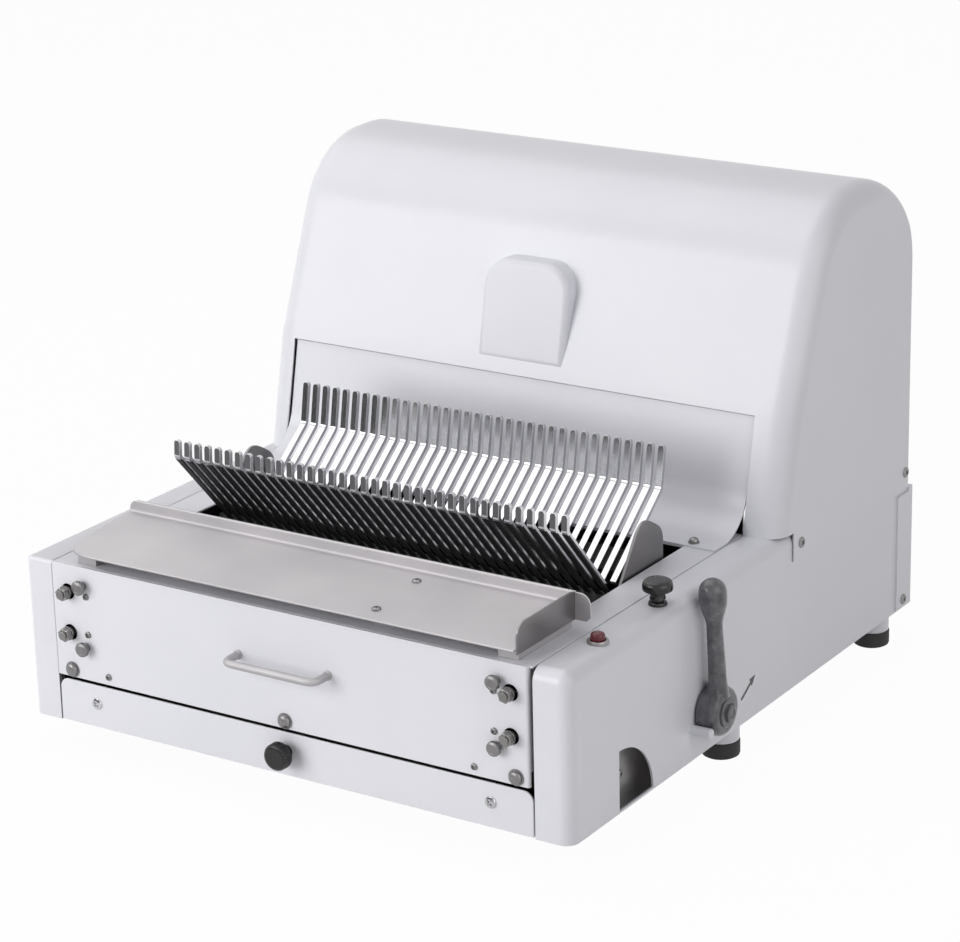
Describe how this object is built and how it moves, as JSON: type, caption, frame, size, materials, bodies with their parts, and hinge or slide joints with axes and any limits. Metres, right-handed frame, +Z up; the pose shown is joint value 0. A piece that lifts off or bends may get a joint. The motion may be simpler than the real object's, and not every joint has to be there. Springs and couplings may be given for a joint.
{
  "type": "bread slicer machine",
  "caption": "Countertop bread slicer with a white enamelled base and domed hood, a finger-rack loaf trough, a side feed lever, opposed blade frames and a front crumb drawer.",
  "frame": {"origin": "middle of the outline in plan, at the floor under the rubber pads", "axes": "+Y from the front cover to the back, +X to the lever's side, +Z up"},
  "size_m": [0.582, 0.6536, 0.46],
  "materials": {
    "white_enamel": "baked gloss enamel",
    "zinc_sheet": "plated sheet",
    "stainless": "brushed sheet",
    "polished_steel": "polished",
    "finger_steel": "polished flat bar",
    "ground_steel": "ground bar",
    "blade_steel": "ground strip",
    "bar_steel": "dark satin paint",
    "lever_casting": "grey satin paint on a casting",
    "machine_iron": "machined casting",
    "motor_paint": "satin paint",
    "bush_bronze": "machined bronze",
    "black_plastic": "moulded, satin",
    "red_plastic": "moulded, gloss",
    "black_rubber": "moulded",
    "belt_rubber": "moulded"
  },
  "bodies": {
    "machine": {"bagging_tray": "stainless", "button_bezel": "polished_steel", "button_switch": "black_plastic", "cable_gland": "black_plastic", "chassis": "zinc_sheet", "cover_bolts": "polished_steel", "cover_handle": "polished_steel", "cover_screws": "polished_steel", "cover_thumb_nuts": "polished_steel", "crank_bearings": "machine_iron", "drive_belt": "belt_rubber", "end_guides": "stainless", "foot_necks": "white_enamel", "front_cover": "white_enamel", "grip_recess": "stainless", "grip_screw": "polished_steel", "guard_panel": "white_enamel", "guard_screws": "polished_steel", "hood": "white_enamel", "knob_collar": "black_plastic", "left_casing": "white_enamel", "motor": "motor_paint", "motor_stand": "zinc_sheet", "pivot_bushes": "bush_bronze", "rear_cover": "white_enamel", "rear_fingers": "finger_steel", "rear_rack_bar": "bar_steel", "right_casing": "white_enamel", "rod_bushes": "bush_bronze", "rubber_feet": "black_rubber", "side_screws": "polished_steel", "stop_peg": "white_enamel", "top_deck": "white_enamel", "tray_brackets": "stainless", "tray_screws": "polished_steel"},
    "drawer": {"crumb_drawer": "white_enamel", "drawer_knob": "black_plastic", "drawer_screws": "polished_steel"},
    "front_rack": {"front_fingers": "finger_steel", "front_rack_bar": "bar_steel", "rack_arm": "bar_steel"},
    "lever": {"lever_shaft": "ground_steel", "feed_lever": "lever_casting", "lever_nut": "polished_steel"},
    "link": {"drag_link": "ground_steel"},
    "frame_a": {"blade_frame_a": "bar_steel", "blades_a": "blade_steel", "guide_rods_a": "ground_steel"},
    "frame_b": {"blade_frame_b": "bar_steel", "blades_b": "blade_steel", "guide_rods_b": "ground_steel"},
    "crank": {"crankshaft": "ground_steel", "eccentrics": "machine_iron", "driven_pulley": "machine_iron"},
    "rod_a": {"connecting_rod_a": "machine_iron"},
    "rod_b": {"connecting_rod_b": "machine_iron"},
    "rotor": {"motor_shaft": "ground_steel", "motor_pulley": "machine_iron"},
    "stop": {"stop_button": "red_plastic"},
    "start": {"start_knob": "black_plastic"}
  },
  "joints": [
    {"name": "drawer_slide", "type": "slide", "parent": "machine", "child": "drawer", "axis": [0, -1, 0], "range_m": [0, 0.18]},
    {"name": "lever_turn", "type": "hinge", "parent": "machine", "child": "lever", "pos_m": [-0.002, -0.08425, 0.068], "axis": [-1, 0, 0], "range_deg": [0, 36]},
    {"name": "rack_turn", "type": "hinge", "parent": "machine", "child": "front_rack", "pos_m": [-0.002, -0.10725, 0.132], "axis": [-1, 0, 0], "range_deg": [0, 36]},
    {"name": "link_turn", "type": "hinge", "parent": "lever", "child": "link", "pos_m": [-0.002, -0.05425, 0.068], "axis": [-1, 0, 0], "range_deg": [-36, 0]},
    {"name": "frame_a_slide", "type": "slide", "parent": "machine", "child": "frame_a", "axis": [0, 1, 0], "range_m": [-0.01, 0.01]},
    {"name": "frame_b_slide", "type": "slide", "parent": "machine", "child": "frame_b", "axis": [0, 1, 0], "range_m": [-0.01, 0.01]},
    {"name": "crank_turn", "type": "hinge", "parent": "machine", "child": "crank", "pos_m": [-0.002, 0.13675, 0.13215], "axis": [1, 0, 0], "continuous": true},
    {"name": "rod_a_turn", "type": "hinge", "parent": "crank", "child": "rod_a", "pos_m": [-0.002, 0.13675, 0.14215], "axis": [1, 0, 0], "continuous": true},
    {"name": "rod_b_turn", "type": "hinge", "parent": "crank", "child": "rod_b", "pos_m": [-0.002, 0.13675, 0.12215], "axis": [1, 0, 0], "continuous": true},
    {"name": "motor_turn", "type": "hinge", "parent": "machine", "child": "rotor", "pos_m": [-0.002, 0.19675, 0.293], "axis": [1, 0, 0], "continuous": true},
    {"name": "stop_press", "type": "slide", "parent": "machine", "child": "stop", "axis": [0, 0, -1], "range_m": [0, 0.003], "stiffness_N_per_m": 900},
    {"name": "start_press", "type": "slide", "parent": "machine", "child": "start", "axis": [0, 0, -1], "range_m": [0, 0.0025], "stiffness_N_per_m": 900}
  ],
  "couplings": [
    {"joint": "rack_turn", "follows": "lever_turn", "ratio": 1},
    {"joint": "link_turn", "follows": "lever_turn", "ratio": -1},
    {"joint": "frame_b_slide", "follows": "frame_a_slide", "ratio": -1},
    {"joint": "rod_a_turn", "follows": "crank_turn", "ratio": -1},
    {"joint": "rod_b_turn", "follows": "crank_turn", "ratio": -1},
    {"joint": "motor_turn", "follows": "crank_turn", "ratio": 2.5}
  ]
}
